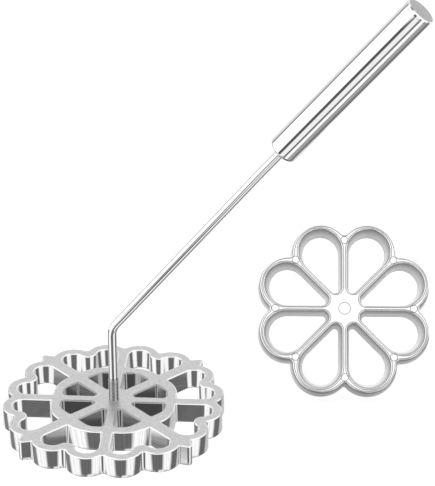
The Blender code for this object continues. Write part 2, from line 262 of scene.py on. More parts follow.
handleLook = {
    "rise": math.radians(51.1), "gripRise": math.radians(50.2), "setBeforeNose": 14 * mm,
    "setRadius": 200 * mm, "clocking": math.radians(-10), "grip": 14 * mm, "gripLength": 90 * mm,
    "wall": 1 * mm, "noseWall": 1.6 * mm, "noseRound": 1.8 * mm, "rod": 4.4 * mm, "reach": 129 * mm,
    "tail": 14 * mm, "bendHeight": 39.1 * mm, "bendRadius": 10.5 * mm, "gap": 0.3 * mm,
    "plugLength": 18 * mm, "capThickness": 1.6 * mm, "capEdge": 0.5 * mm, "capSpigot": 5 * mm,
    "seam": 0.06 * mm, "rimRound": 0.08 * mm, "holeRound": 0.25 * mm, "boreRound": 0.3 * mm,
    "plugBevel": 0.5 * mm, "capFootRound": 0.1 * mm, "bendSteps": 16, "rodSides": 64,
    "gripSides": 128,
}
alongGrip = (0, handleLook["gripRise"] - math.pi / 2, 0)

# edge colours lighter than the metal are partly wear and partly painted highlight; threadSteel's
# darker one darkens its flanks
polishedSteel = metalFinish("polishedSteel", {
    "dark": (0.84, 0.84, 0.845), "light": (0.9, 0.9, 0.905),
    "edge": (0.95, 0.95, 0.95), "edgeShare": 0.5,
    "streakScale": (900, 900, 9), "turn": alongGrip, "mottleScale": 60, "speckleScale": 2500,
    "roughness": (0.015, 0.04), "streakShare": 0.8, "bump": 0.05, "bumpDepth": 0.01 * mm})
threadSteel = metalFinish("threadSteel", {
    "dark": (0.48, 0.48, 0.485), "light": (0.6, 0.6, 0.605),
    "edge": (0.4, 0.4, 0.4), "edgeShare": 0.8,
    "streakScale": (900, 900, 60), "mottleScale": 300, "speckleScale": 2500,
    "roughness": (0.04, 0.09), "streakShare": 0.6, "bump": 0.1, "bumpDepth": 0.01 * mm})
satinSteel = metalFinish("satinSteel", {
    "dark": (0.42, 0.42, 0.425), "light": (0.49, 0.49, 0.495),
    "edge": (0.95, 0.95, 0.95), "edgeShare": 0.9,
    "streakScale": (900, 40, 900), "turn": alongGrip, "mottleScale": 200, "speckleScale": 3000,
    "roughness": (0.26, 0.36), "streakShare": 0.5, "bump": 0.2, "bumpDepth": 0.02 * mm})
# the rosette's mirror walls, with painted shade on the walls inside the ring
mirrorAluminium = metalFinish("mirrorAluminium", {
    "dark": (0.82, 0.82, 0.83), "light": (0.9, 0.9, 0.905),
    "edge": (0.95, 0.95, 0.95), "edgeShare": 0.6,
    "streakScale": (700, 700, 14), "mottleScale": 90, "speckleScale": 2500,
    "roughness": (0.03, 0.09), "streakShare": 0.85, "bump": 0.08, "bumpDepth": 0.02 * mm,
    "paintedShadeReach": 27.5 * mm, "paintedShadeSoft": 1.5 * mm, "paintedShadeShare": 0.4})
satinAluminium = metalFinish("satinAluminium", {
    "dark": (0.6, 0.6, 0.605), "light": (0.75, 0.75, 0.755),
    "edge": (0.95, 0.95, 0.95), "edgeShare": 0.8,
    "streakScale": (900, 700, 900), "mottleScale": 500, "speckleScale": 2500,
    "roughness": (0.3, 0.42), "streakShare": 0.3, "bump": 0.3, "bumpDepth": 0.03 * mm})
castAluminium = metalFinish("castAluminium", {
    "dark": (0.93, 0.93, 0.935), "light": (0.97, 0.97, 0.975),
    "edge": (0.97, 0.97, 0.97), "edgeShare": 0.7,
    "streakScale": (120, 120, 120), "mottleScale": 70, "speckleScale": 3000,
    "roughness": (0.3, 0.4), "streakShare": 0.3, "bump": 0.05, "bumpDepth": 0.02 * mm})
markedAluminium = metalFinish("markedAluminium", {
    "dark": (0.24, 0.24, 0.245), "light": (0.32, 0.32, 0.325),
    "edge": (0.3, 0.3, 0.3), "edgeShare": 0.2,
    "streakScale": (120, 120, 120), "mottleScale": 70, "speckleScale": 3000,
    "roughness": (0.3, 0.4), "streakShare": 0.3, "bump": 0.1, "bumpDepth": 0.02 * mm})
print("finishes made")


# outlines drawn as a belt round pins: side +1 turns left round a pin, side -1 turns right

def pin(along, across, radius, side=1):
    return Vector((along, across)), radius, side


def beltDirection(first, second):
    (start, startRadius, startSide), (end, endRadius, endSide) = first, second
    gap = end - start
    swing = (endSide * endRadius - startSide * startRadius) / gap.length
    return math.atan2(gap.y, gap.x) - math.asin(max(-1, min(1, swing)))


def belt(pins):
    points = []
    for index, (centre, radius, side) in enumerate(pins):
        arrive = beltDirection(pins[index - 1], pins[index])
        leave = beltDirection(pins[index], pins[(index + 1) % len(pins)])
        turn = side * ((side * (leave - arrive)) % fullTurn)
        steps = max(1, math.ceil(abs(turn) / arcStep))
        for step in range(steps + 1):
            heading = arrive + turn * step / steps
            point = centre + side * radius * Vector((math.sin(heading), -math.cos(heading)))
            if not points or (point - points[-1]).length > nearestPoints:
                points.append(point)
    if (points[0] - points[-1]).length <= nearestPoints:
        points.pop()
    return points


def turnSpot(spot, turn):
    cosine, sine = math.cos(turn), math.sin(turn)
    return Vector((spot.x * cosine - spot.y * sine, spot.x * sine + spot.y * cosine))


def movePins(pins, turn, mirrored=False):
    moved = []
    for centre, radius, side in reversed(pins) if mirrored else pins:
        start = Vector((centre.x, -centre.y)) if mirrored else centre
        moved.append((turnSpot(start, turn), radius, side))
    return moved


def bridgePin(first, second, touching, radius):
    halfGap = (second - first).length / 2
    rise = math.sqrt((touching + radius) ** 2 - halfGap ** 2)
    outward = Vector((second.y - first.y, first.x - second.x)).normalized()
    return (first + second) / 2 + rise * outward, radius, -1


def cornerPlace(along, across):
    return Vector(((along + across) / rootTwo, (along - across) / rootTwo))


def outlineObject(name, crowns, feet):
    spots, edges, flares = [], [], []
    for crown, foot in zip(crowns, feet):
        first = len(spots)
        spots += [(point.x, point.y, 0) for point in crown]
        flares += [(foot[index] - crown[index]).to_3d() for index in range(len(crown))]
        edges += [(first + index, first + (index + 1) % len(crown)) for index in range(len(crown))]
    mesh = bpy.data.meshes.new(name)
    mesh.from_pydata(spots, edges, [])
    flare = mesh.attributes.new("flare", "FLOAT_VECTOR", "POINT")
    for index, away in enumerate(flares):
        flare.data[index].vector = away
    source = bpy.data.objects.new(name, mesh)
    bpy.context.scene.collection.objects.link(source)
    return source


# sweeps a wall with rounded edges along each outline, then fills the top and the bottom
def castTree():
    tree, inputs = startTree("castMould", {
        "Depth": "Float", "Draft": "Float", "Edge Radius": "Float", "Rim": "Float",
        "Edge Steps": "Int", "Wall Finish": "Material", "Face Finish": "Material"})
    index = tree.nodes.new("GeometryNodeInputIndex").outputs[0]
    middleIndex = 1.5  # the wall's profile has corners 0 to 3: its two ends are the rims
    isTop = calc(tree, "GREATER_THAN", index, middleIndex)
    fromMiddle = calc(tree, "ABSOLUTE", calc(tree, "SUBTRACT", index, middleIndex))
    isRim = calc(tree, "GREATER_THAN", fromMiddle, 1.0)
    swell = calc(tree, "MULTIPLY", inputs["Draft"], calc(tree, "SUBTRACT", 1.0, isTop))
    inset = calc(tree, "SUBTRACT", swell, calc(tree, "MULTIPLY", inputs["Rim"], isRim))
    height = calc(tree, "MULTIPLY", inputs["Depth"], calc(tree, "MULTIPLY", isTop, -1.0))
    spot = addNode(tree, "ShaderNodeCombineXYZ", {"X": inset, "Y": height}).outputs[0]
    corners = addNode(tree, "GeometryNodeMeshLine", {"Count": 4}, mode="OFFSET")
    placed = addNode(tree, "GeometryNodeSetPosition",
                     {"Geometry": corners.outputs[0], "Position": spot})
    profile = addNode(tree, "GeometryNodeMeshToCurve", {"Mesh": placed.outputs[0]})
    rounded = addNode(tree, "GeometryNodeFilletCurve",
                      {"Curve": profile.outputs[0], "Count": inputs["Edge Steps"],
                       "Radius": inputs["Edge Radius"]}, mode="POLY")
    loops = addNode(tree, "GeometryNodeMeshToCurve", {"Mesh": inputs["Geometry"]}).outputs[0]
    upright = addNode(tree, "GeometryNodeSetCurveNormal", {"Curve": loops}, mode="Z_UP").outputs[0]
    swept = addNode(tree, "GeometryNodeCurveToMesh",
                    {"Curve": upright, "Profile Curve": rounded.outputs[0]}).outputs[0]
    facesBeside = tree.nodes.new("GeometryNodeInputMeshEdgeNeighbors").outputs[0]
    isOpen = calc(tree, "LESS_THAN", facesBeside, 1.5)  # an open edge has one face
    level = addNode(tree, "ShaderNodeSeparateXYZ",
                    {0: tree.nodes.new("GeometryNodeInputPosition").outputs[0]}).outputs["Z"]
    isHigh = calc(tree, "GREATER_THAN", level, calc(tree, "MULTIPLY", inputs["Depth"], 0.5))
    flare = addNode(tree, "GeometryNodeInputNamedAttribute", {"Name": "flare"},
                    data_type="FLOAT_VECTOR").outputs[0]
    flared = vectorCalc(tree, "SCALE", flare, calc(tree, "SUBTRACT", 1.0, isHigh))
    walls = addNode(tree, "GeometryNodeSetPosition",
                    {"Geometry": swept, "Offset": flared}).outputs[0]
    caps = []
    for chosen, drop in ((isHigh, inputs["Depth"]), (calc(tree, "SUBTRACT", 1.0, isHigh), None)):
        edge = addNode(tree, "GeometryNodeMeshToCurve",
                       {"Mesh": walls, "Selection": calc(tree, "MULTIPLY", isOpen, chosen)})
        cap = addNode(tree, "GeometryNodeFillCurve", {0: edge.outputs[0]},
                      mode="TRIANGLES").outputs[0]
        if drop:
            cap = lift(tree, cap, drop)
        else:
            cap = addNode(tree, "GeometryNodeFlipFaces", {"Mesh": cap}).outputs[0]
        caps.append(paint(tree, cap, inputs["Face Finish"]))
    outward = addNode(tree, "GeometryNodeFlipFaces", {"Mesh": walls}).outputs[0]
    sides = paint(tree, outward, inputs["Wall Finish"])
    merged = addNode(tree, "GeometryNodeMergeByDistance",
                     {"Geometry": joinParts(tree, [sides] + caps),
                      "Distance": mergeGap}).outputs[0]
    real = addNode(tree, "GeometryNodeRealizeInstances", {"Geometry": merged}).outputs[0]
    return endTree(tree, real)


castMould = castTree()


def boreHole(piece, thread, startHeight, direction, place):
    shape = bmesh.new()
    overrun, radius = thread["holeOverrun"], thread["hole"] / 2
    bmesh.ops.create_cone(shape, cap_ends=True, segments=thread["sides"], radius1=radius,
                          radius2=radius, depth=thread["holeDepth"] + overrun)
    middle = startHeight + direction * (overrun - thread["holeDepth"]) / 2
    shape.transform(place @ Matrix.Translation((0, 0, middle)))
    mesh = bpy.data.meshes.new("borer")
    shape.to_mesh(mesh)
    shape.free()
    borer = bpy.data.objects.new("borer", mesh)
    bpy.context.scene.collection.objects.link(borer)
    cut = piece.modifiers.new("bore", "BOOLEAN")
    cut.object = borer
    cut.solver = "EXACT"
    bpy.context.view_layer.update()
    cutPiece = piece.evaluated_get(bpy.context.evaluated_depsgraph_get())
    bored = bpy.data.meshes.new_from_object(cutPiece)
    piece.modifiers.clear()
    piece.data = bored
    piece.data.name = piece.name
    shadeMesh(piece.data, place)
    bpy.data.objects.remove(borer)


threadLook = {
    "crest": 5.0 * mm, "root": 4.4 * mm, "pitch": 0.8 * mm, "hole": 5.14 * mm,
    "holeDepth": 8.5 * mm, "holeOverrun": 2 * mm, "stand": 12.4 * mm, "collar": 0.3 * mm,
    "runOut": 0.8 * mm, "leadIn": 0.5 * mm, "endBevel": 0.4 * mm, "coreRound": 0.1 * mm,
    "ridgeStart": 0.4 * mm, "ridgeSpare": 0.6 * mm, "ridgeSteps": 40, "sides": 48,
}

# rosette mould: sixteen lobes, four tips, eight hearts outside the ring and eight wedges inside it
rosetteLook = {
    "height": 10.5 * mm, "edge": 0.55 * mm, "edgeSteps": 3, "rimLand": 0.15 * mm,
    "axisReach": 53.3 * mm, "cornerReach": 54.1 * mm, "lobe": 10.3 * mm,
    "tipProjection": 3.7 * mm, "tipRound": 1.8 * mm, "tipFlare": 0.9 * mm,
    "tipRootRound": 0.8 * mm, "wall": 4.8 * mm, "cleft": 1.75 * mm, "cusp": 4.5 * mm,
    "axisSpoke": 5.2 * mm, "cornerSpoke": 6.7 * mm, "ringAxis": 25.1 * mm,
    "ringAxisWidth": 5.2 * mm, "ringCorner": 24.2 * mm, "ringCornerWidth": 7.0 * mm,
    "ringOuterBend": 18 * mm, "ringInnerBend": 6 * mm, "heartRound": 1.0 * mm,
    "cellRound": 1.75 * mm, "cellCornerRound": 0.8 * mm, "cellTipRound": 1.5 * mm,
}


def rosetteOutlines(look):
    hollow = look["lobe"] - look["wall"]
    axisSide, cornerSide = look["axisSpoke"] / 2, look["cornerSpoke"] / 2
    axisLobe = Vector((look["axisReach"] - look["lobe"], axisSide + hollow))
    cornerLobe = cornerPlace(look["cornerReach"] - look["lobe"], cornerSide + hollow)
    edge = (look["cornerReach"] + look["tipProjection"]) / rootTwo
    rootRound = look["tipRootRound"]
    root = edge - look["tipFlare"] + rootRound
    rootRise = math.sqrt((look["lobe"] + rootRound) ** 2 - (root - cornerLobe.x) ** 2)
    half = [
        pin(*axisLobe, look["lobe"]),
        bridgePin(axisLobe, cornerLobe, look["lobe"], look["cleft"]),
        pin(*cornerLobe, look["lobe"]),
        pin(root, cornerLobe.y + rootRise, rootRound, -1),
    ]
    notch = bridgePin(Vector((axisLobe.x, -axisLobe.y)), axisLobe, look["lobe"], look["cleft"])
    tip = pin(edge - look["tipRound"], edge - look["tipRound"], look["tipRound"])
    quarter = [notch] + half + [tip] + movePins(half, math.pi / 2, True)
    small, tipRound, wide = look["cellCornerRound"], look["cellTipRound"], look["cellRound"]
    ringAxis = look["ringAxis"] + look["ringAxisWidth"]
    ringCorner = look["ringCorner"] + look["ringCornerWidth"]
    outerBend, innerBend = look["ringOuterBend"], look["ringInnerBend"]
    heart = [
        pin(ringAxis + look["heartRound"], axisSide + look["heartRound"], look["heartRound"]),
        pin(*axisLobe, hollow),
        bridgePin(axisLobe, cornerLobe, hollow, look["cusp"]),
        pin(*cornerLobe, hollow),
        pin(*cornerPlace(ringCorner + small, cornerSide + small), small),
        pin(ringAxis - outerBend, rootTwo * (ringCorner - outerBend) - ringAxis + outerBend,
            outerBend, -1),
    ]
    tipY = axisSide + tipRound
    wedge = [
        pin(tipY + rootTwo * (cornerSide + tipRound), tipY, tipRound),
        pin(look["ringAxis"] - wide, axisSide + wide, wide),
        pin(look["ringAxis"] - innerBend,
            rootTwo * (look["ringCorner"] - innerBend) - look["ringAxis"] + innerBend, innerBend),
        pin(*cornerPlace(look["ringCorner"] - small, cornerSide + small), small),
    ]
    quarters = [corner * math.pi / 2 for corner in range(4)]
    outer = belt([each for turn in quarters for each in movePins(quarter, turn)])
    cells = [belt(movePins(cell, turn, mirrored))[::-1]  # metal always lies on the left
             for cell in (heart, wedge) for turn in quarters for mirrored in (False, True)]
    return [outer] + cells


outlines = rosetteOutlines(rosetteLook)
source = outlineObject("rosetteOutline", outlines, outlines)
rosette = growPiece("rosetteMouldFinish", source, castMould, {
    "Depth": rosetteLook["height"], "Draft": 0.0, "Edge Radius": rosetteLook["edge"],
    "Rim": rosetteLook["edge"] + rosetteLook["rimLand"], "Edge Steps": rosetteLook["edgeSteps"],
    "Wall Finish": mirrorAluminium, "Face Finish": satinAluminium}, Matrix.Identity(4))
boreHole(rosette, threadLook, rosetteLook["height"], 1, Matrix.Identity(4))
checkClosed(rosette)
rosette.visible_glossy = False  # its walls and the rod mirror the room, as in the photo
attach(rosette, "rosette")
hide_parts("rosette_mould")
print("rosette mould made")

# flower mould: eight petals round a hub, leaning back on two of them
flowerLook = {
    "height": 12 * mm, "draft": 1.22 * mm, "edge": 0.85 * mm, "edgeSteps": 5,
    "rimLand": 0.05 * mm, "reach": 44.15 * mm, "petal": 14 * mm, "rim": 1.9 * mm,
    "notch": 2.2 * mm, "spoke": 2.3 * mm, "hub": 8.4 * mm, "petals": 8, "flare": 0.5 * mm,
    "crownFlare": 1.65 * mm, "lean": math.radians(36), "turn": math.radians(2.4),
    "aside": 110.85 * mm, "back": 50.65 * mm, "markReach": 34.3 * mm, "mark": 3.6 * mm,
    "middleMark": 5.9 * mm, "markWire": 0.45 * mm, "markSink": 0.12 * mm,
}


def flowerOutlines(look, flare, crownFlare):
    halfPetal = math.pi / look["petals"]
    turns = [index * fullTurn / look["petals"] for index in range(look["petals"])]
    petal = turnSpot(Vector((look["reach"] - look["petal"], 0)), halfPetal)
    below = Vector((petal.x, -petal.y))
    pair = [bridgePin(below, petal, look["petal"], look["notch"]), pin(*petal, look["petal"])]
    outer = belt([each for turn in turns for each in movePins(pair, turn)])
    lean, side, hub = math.sin(halfPetal), look["spoke"] / 2 + flare, look["hub"] + flare
    rim = look["reach"] - look["rim"] - crownFlare
    crown = (rim * lean - side) / (1 + lean)
    root = (hub * lean - side) / (1 - lean)
    cell = [pin(hub + root, 0, root), pin(rim - crown, 0, crown)]
    return [outer] + [belt(movePins(cell, turn + halfPetal))[::-1] for turn in turns]


# one ring on each spoke's end and a larger one in the middle
def markTree():
    wireSides, ringSteps = 8, 40
    tree, inputs = startTree("ringMarks", {
        "Count": "Int", "Reach": "Float", "Mark Radius": "Float", "Middle Radius": "Float",
        "Wire Radius": "Float", "Height": "Float", "Finish": "Material"})
    wire = addNode(tree, "GeometryNodeCurvePrimitiveCircle",
                   {"Resolution": wireSides, "Radius": inputs["Wire Radius"]}).outputs[0]
    rings = []
    for size in ("Mark Radius", "Middle Radius"):
        path = addNode(tree, "GeometryNodeCurvePrimitiveCircle",
                       {"Resolution": ringSteps, "Radius": inputs[size]}).outputs[0]
        rings.append(addNode(tree, "GeometryNodeCurveToMesh",
                             {"Curve": path, "Profile Curve": wire}).outputs[0])
    spots = addNode(tree, "GeometryNodeMeshCircle",
                    {"Vertices": inputs["Count"], "Radius": inputs["Reach"]}).outputs[0]
    around = addNode(tree, "GeometryNodeInstanceOnPoints",
                     {"Points": spots, "Instance": rings[0]}).outputs[0]
    whole = joinParts(tree, [around, rings[1]])
    real = addNode(tree, "GeometryNodeRealizeInstances", {"Geometry": whole}).outputs[0]
    raised = lift(tree, real, inputs["Height"])
    return endTree(tree, paint(tree, raised, inputs["Finish"]))


lowest = ((flowerLook["reach"] - flowerLook["petal"]) * math.cos(math.pi / flowerLook["petals"])
          + flowerLook["petal"] + flowerLook["draft"])
flowerPlace = (Matrix.Translation((flowerLook["aside"], flowerLook["back"],
                                   lowest * math.cos(flowerLook["lean"])))
               @ Matrix.Rotation(flowerLook["turn"], 4, "Z")
               @ Matrix.Rotation(math.pi / 2 - flowerLook["lean"], 4, "X"))
frontOfFlower = flowerPlace @ Vector((0, 0, flowerLook["height"]))
# the flower's walls, partly matt, with painted shade darkening them towards the front rim
castWall = metalFinish("castWall", {
    "dark": (0.93, 0.93, 0.935), "light": (0.97, 0.97, 0.975),
    "edge": (0.97, 0.97, 0.97), "edgeShare": 0.9,
    "streakScale": (120, 120, 120), "mottleScale": 70, "speckleScale": 3000, "metal": 0.15,
    "front": (frontOfFlower, (flowerPlace.to_3x3() @ Vector((0, 0, 1))).normalized()),
    "frontEdge": flowerLook["edge"], "frontShades": [(7.5 * mm, 0.4), (2 * mm, 0.75)],
    "roughness": (0.55, 0.65), "edgeRoughness": 0.2, "streakShare": 0.3, "bump": 0.05,
    "bumpDepth": 0.02 * mm})
source = outlineObject("flowerOutline", flowerOutlines(flowerLook, 0, 0),
                       flowerOutlines(flowerLook, flowerLook["flare"], flowerLook["crownFlare"]))
flower = growPiece("flowerMouldFinish", source, castMould, {
    "Depth": flowerLook["height"], "Draft": flowerLook["draft"], "Edge Radius": flowerLook["edge"],
    "Rim": flowerLook["edge"] + flowerLook["rimLand"], "Edge Steps": flowerLook["edgeSteps"],
    "Wall Finish": castWall, "Face Finish": castAluminium}, flowerPlace)
boreHole(flower, threadLook, 0, -1, flowerPlace)
checkClosed(flower)
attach(flower, "flower")
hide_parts("flower_mould")
marks = growPiece("flowerRingMarks", lineObject("marks", [(0, 0, 0)]), markTree(), {
    "Count": flowerLook["petals"], "Reach": flowerLook["markReach"],
    "Mark Radius": flowerLook["mark"] / 2, "Middle Radius": flowerLook["middleMark"] / 2,
    "Wire Radius": flowerLook["markWire"] / 2, "Finish": markedAluminium,
    "Height": flowerLook["height"] - flowerLook["markSink"]}, flowerPlace)
checkClosed(marks)
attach(marks, "flower")
print("flower mould made")


# turned pieces: a profile of corners (radius, height, rounding) swung round the Z axis

def roundProfile(corners, closed):
    points = []
    for index, (reach, height, bend) in enumerate(corners):
        corner = Vector((reach, height))
        if bend == 0 or (not closed and index in (0, len(corners) - 1)):
            points.append(corner)
            continue
        before = (Vector(corners[index - 1][:2]) - corner).normalized()
        after = (Vector(corners[(index + 1) % len(corners)][:2]) - corner).normalized()
        half = before.angle(after) / 2
        centre = corner + (before + after).normalized() * bend / math.sin(half)
        start = corner + before * bend / math.tan(half) - centre
        sweep = start.angle_signed(corner + after * bend / math.tan(half) - centre)
        steps = max(2, math.ceil(abs(sweep) / turnStep))
        points += [centre + turnSpot(start, -sweep * step / steps) for step in range(steps + 1)]
    return points


def turnMesh(name, corners, closed, sides, *finishes):
    points = roundProfile(corners, closed)
    shape = bmesh.new()
    rings = []
    for point in points:
        if point.x < mergeGap:
            rings.append([shape.verts.new((0, 0, point.y))])
            continue
        angles = [fullTurn * side / sides for side in range(sides)]
        rings.append([
            shape.verts.new((point.x * math.cos(angle), point.x * math.sin(angle), point.y))
            for angle in angles])
    pairs = list(zip(rings, rings[1:]))
    if closed:
        pairs.append((rings[-1], rings[0]))
    for upper, lower in pairs:
        for side in range(sides):
            after = (side + 1) % sides
            corner = [upper[side % len(upper)], lower[side % len(lower)],
                      lower[after % len(lower)], upper[after % len(upper)]]
            shape.faces.new(list(dict.fromkeys(corner)))
    bmesh.ops.recalc_face_normals(shape, faces=shape.faces)
    for face in shape.faces:
        face.material_index = len(finishes) - 1 if abs(face.normal.z) > 0.99 else 0
    mesh = bpy.data.meshes.new(name)
    shape.to_mesh(mesh)
    shape.free()
    for finish in finishes:
        mesh.materials.append(finish)
    return mesh


turnPlace = (Matrix.Translation((0, 0, rosetteLook["height"]))
             @ Matrix.Rotation(handleLook["clocking"], 4, "Z"))


# a spot on the rod's middle line, at a distance from its first bend
def rodSpot(distance):
    before = min(distance, handleLook["reach"] - handleLook["setBeforeNose"])
    after = distance - before
    rise, gripRise = handleLook["rise"], handleLook["gripRise"]
    return (before * math.cos(rise) + after * math.cos(gripRise), 0,
            handleLook["bendHeight"] + before * math.sin(rise) + after * math.sin(gripRise))


gripPlace = (turnPlace @ Matrix.Translation(rodSpot(handleLook["reach"]))
             @ Matrix.Rotation(math.pi / 2 - handleLook["gripRise"], 4, "Y"))


# winds a ridge of one pitch round the core that comes in, fading at both ends
def threadTree():
    profileSteps, footDepth = 8, 0.5 * mm  # corners 0 to 8 are the ridge and corner 9 its foot
    crestSlope, crestLevel = 1.1, 0.95
    fadeShare, fadeEnd = 0.04, 0.02
    tree, inputs = startTree("threadRidge", {
        "Root Radius": "Float", "Crest Radius": "Float", "Pitch": "Float", "Turns": "Float",
        "Start": "Float", "Steps": "Int", "Finish": "Material"})
    length = calc(tree, "MULTIPLY", inputs["Pitch"], inputs["Turns"])
    path = addNode(tree, "GeometryNodeCurveSpiral",
                   {"Resolution": inputs["Steps"], "Rotations": inputs["Turns"],
                    "Start Radius": inputs["Root Radius"], "End Radius": inputs["Root Radius"],
                    "Height": length}).outputs[0]
    along = tree.nodes.new("GeometryNodeSplineParameter").outputs["Factor"]
    fromEnd = calc(tree, "MINIMUM", along, calc(tree, "SUBTRACT", 1.0, along))
    fade = mapRange(tree, fromEnd, 0.0, fadeShare, fadeEnd, 1.0, "SMOOTHSTEP")
    faded = addNode(tree, "GeometryNodeSetCurveRadius", {"Curve": path, "Radius": fade}).outputs[0]
    upright = addNode(tree, "GeometryNodeSetCurveNormal", {"Curve": faded}, mode="Z_UP").outputs[0]
    index = tree.nodes.new("GeometryNodeInputIndex").outputs[0]
    height = calc(tree, "SUBTRACT", inputs["Crest Radius"], inputs["Root Radius"])
    isFoot = calc(tree, "GREATER_THAN", index, profileSteps + 0.5)
    across = calc(tree, "MULTIPLY_ADD", index, 1 / profileSteps, -0.5)
    swell = calc(tree, "COSINE", calc(tree, "MULTIPLY", across, fullTurn))
    crest = calc(tree, "MULTIPLY_ADD", swell, crestSlope, crestLevel)
    flatCrest = calc(tree, "MAXIMUM", 0.0, calc(tree, "MINIMUM", 1.0, crest))
    wave = calc(tree, "MULTIPLY", height, flatCrest)
    inward = calc(tree, "SUBTRACT", calc(tree, "MULTIPLY", isFoot, footDepth), wave)
    slide = calc(tree, "MULTIPLY", across, calc(tree, "SUBTRACT", 1.0, isFoot))
    spot = addNode(tree, "ShaderNodeCombineXYZ",
                   {"X": inward, "Y": calc(tree, "MULTIPLY", slide, inputs["Pitch"])}).outputs[0]
    corners = addNode(tree, "GeometryNodeMeshCircle", {"Vertices": profileSteps + 2}).outputs[0]
    placed = addNode(tree, "GeometryNodeSetPosition", {"Geometry": corners, "Position": spot})
    profile = addNode(tree, "GeometryNodeMeshToCurve", {"Mesh": placed.outputs[0]}).outputs[0]
    ridge = addNode(tree, "GeometryNodeCurveToMesh",
                    {"Curve": upright, "Profile Curve": profile, "Fill Caps": True}).outputs[0]
    outward = addNode(tree, "GeometryNodeFlipFaces", {"Mesh": ridge}).outputs[0]
    whole = joinParts(tree, [lift(tree, outward, inputs["Start"]), inputs["Geometry"]])
    real = addNode(tree, "GeometryNodeRealizeInstances", {"Geometry": whole}).outputs[0]
    return endTree(tree, paint(tree, real, inputs["Finish"]))


rootRadius, crestRadius = threadLook["root"] / 2, threadLook["crest"] / 2
threadBottom = handleLook["gap"] - threadLook["holeDepth"]
threadTop, coreRound = threadLook["stand"], threadLook["coreRound"]
core = turnMesh("threadCore", [
    (0, threadTop, 0), (handleLook["rod"] / 2, threadTop, 0),
    (handleLook["rod"] / 2, threadTop - threadLook["collar"], 0),
    (rootRadius, threadTop - threadLook["runOut"], coreRound),
    (rootRadius, threadBottom + threadLook["leadIn"], coreRound),
    (rootRadius - threadLook["endBevel"], threadBottom, 0), (0, threadBottom, 0)],
    False, threadLook["sides"], threadSteel)
source = bpy.data.objects.new("threadCore", core)
bpy.context.scene.collection.objects.link(source)
threadLength = threadTop - threadLook["runOut"] - threadBottom
threadTurns = (threadLength - threadLook["ridgeSpare"]) / threadLook["pitch"]
thread = growPiece("threadedEndFinish", source, threadTree(), {
    "Root Radius": rootRadius, "Crest Radius": crestRadius, "Pitch": threadLook["pitch"],
    "Turns": threadTurns, "Start": threadBottom + threadLook["ridgeStart"],
    "Steps": threadLook["ridgeSteps"], "Finish": threadSteel}, turnPlace)
checkClosed(thread)
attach(thread, "screw")
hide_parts("threaded_end")
print("thread wound")


# bends a round wire through the points that come in
def wireTree():
    tree, inputs = startTree("bentWire", {
        "Wire Radius": "Float", "Bend Radius": "Float", "Set Radius": "Float", "Bend Steps": "Int",
        "Sides": "Int", "Finish": "Material"})
    path = addNode(tree, "GeometryNodeMeshToCurve", {"Mesh": inputs["Geometry"]}).outputs[0]
    index = tree.nodes.new("GeometryNodeInputIndex").outputs[0]
    isSet = calc(tree, "GREATER_THAN", index, 1.5)  # point 1 is the bend and point 2 the set
    radius = blendLevels(tree, isSet, inputs["Bend Radius"], inputs["Set Radius"])
    bent = addNode(tree, "GeometryNodeFilletCurve",
                   {"Curve": path, "Count": inputs["Bend Steps"], "Radius": radius},
                   mode="POLY").outputs[0]
    section = addNode(tree, "GeometryNodeCurvePrimitiveCircle",
                      {"Resolution": inputs["Sides"], "Radius": inputs["Wire Radius"]}).outputs[0]
    wire = addNode(tree, "GeometryNodeCurveToMesh",
                   {"Curve": bent, "Profile Curve": section, "Fill Caps": True}).outputs[0]
    real = addNode(tree, "GeometryNodeRealizeInstances", {"Geometry": wire}).outputs[0]
    return endTree(tree, paint(tree, real, inputs["Finish"]))


source = lineObject("rodPath", [
    (0, 0, threadTop), rodSpot(0), rodSpot(handleLook["reach"] - handleLook["setBeforeNose"]),
    rodSpot(handleLook["reach"] + handleLook["tail"])])
rod = growPiece("bentRodFinish", source, wireTree(), {
    "Wire Radius": handleLook["rod"] / 2, "Bend Radius": handleLook["bendRadius"],
    "Set Radius": handleLook["setRadius"], "Bend Steps": handleLook["bendSteps"],
    "Sides": handleLook["rodSides"], "Finish": polishedSteel}, turnPlace)
checkClosed(rod)
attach(rod, "handle")
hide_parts("bent_rod")
print("rod bent")

outside, bore = handleLook["grip"] / 2, handleLook["grip"] / 2 - handleLook["wall"]
rodHole = handleLook["rod"] / 2 + handleLook["gap"]
fit = bore - handleLook["gap"]
plugStart = handleLook["noseWall"] + handleLook["gap"]
plugEnd = plugStart + handleLook["plugLength"]
capStart = handleLook["gripLength"] + handleLook["gap"]
capEnd = capStart + handleLook["capThickness"]
capEdge, rimRound = handleLook["capEdge"], handleLook["rimRound"]
spigotEnd = capStart - handleLook["capSpigot"]
tubeEnd = capStart - handleLook["seam"]
plugEdge = fit - handleLook["plugBevel"]
tailEnd = handleLook["tail"] + handleLook["gap"]
turnedPieces = {
    "gripTubeFinish": ("handle_tube", "polished_steel", [polishedSteel], True, [
        (outside, tubeEnd, rimRound), (outside, 0, handleLook["noseRound"]),
        (rodHole, 0, handleLook["holeRound"]), (rodHole, handleLook["noseWall"], 0),
        (bore, handleLook["noseWall"], handleLook["boreRound"]), (bore, tubeEnd, 0)]),
    "rodPlugFinish": ("rod_plug", "polished_steel", [polishedSteel], False, [
        (0, plugEnd, 0), (plugEdge, plugEnd, 0), (fit, plugEnd - handleLook["plugBevel"], 0),
        (fit, plugStart + handleLook["plugBevel"], 0), (plugEdge, plugStart, 0),
        (rodHole, plugStart, 0), (rodHole, tailEnd, 0), (0, tailEnd, 0)]),
    "endCapFinish": ("end_cap", "satin_steel", [polishedSteel, satinSteel], False, [
        (0, capEnd, 0), (outside - capEdge, capEnd, rimRound),
        (outside, capEnd - capEdge, rimRound), (outside, capStart, handleLook["capFootRound"]),
        (fit, capStart, 0), (fit, spigotEnd, 0), (0, spigotEnd, 0)]),
}
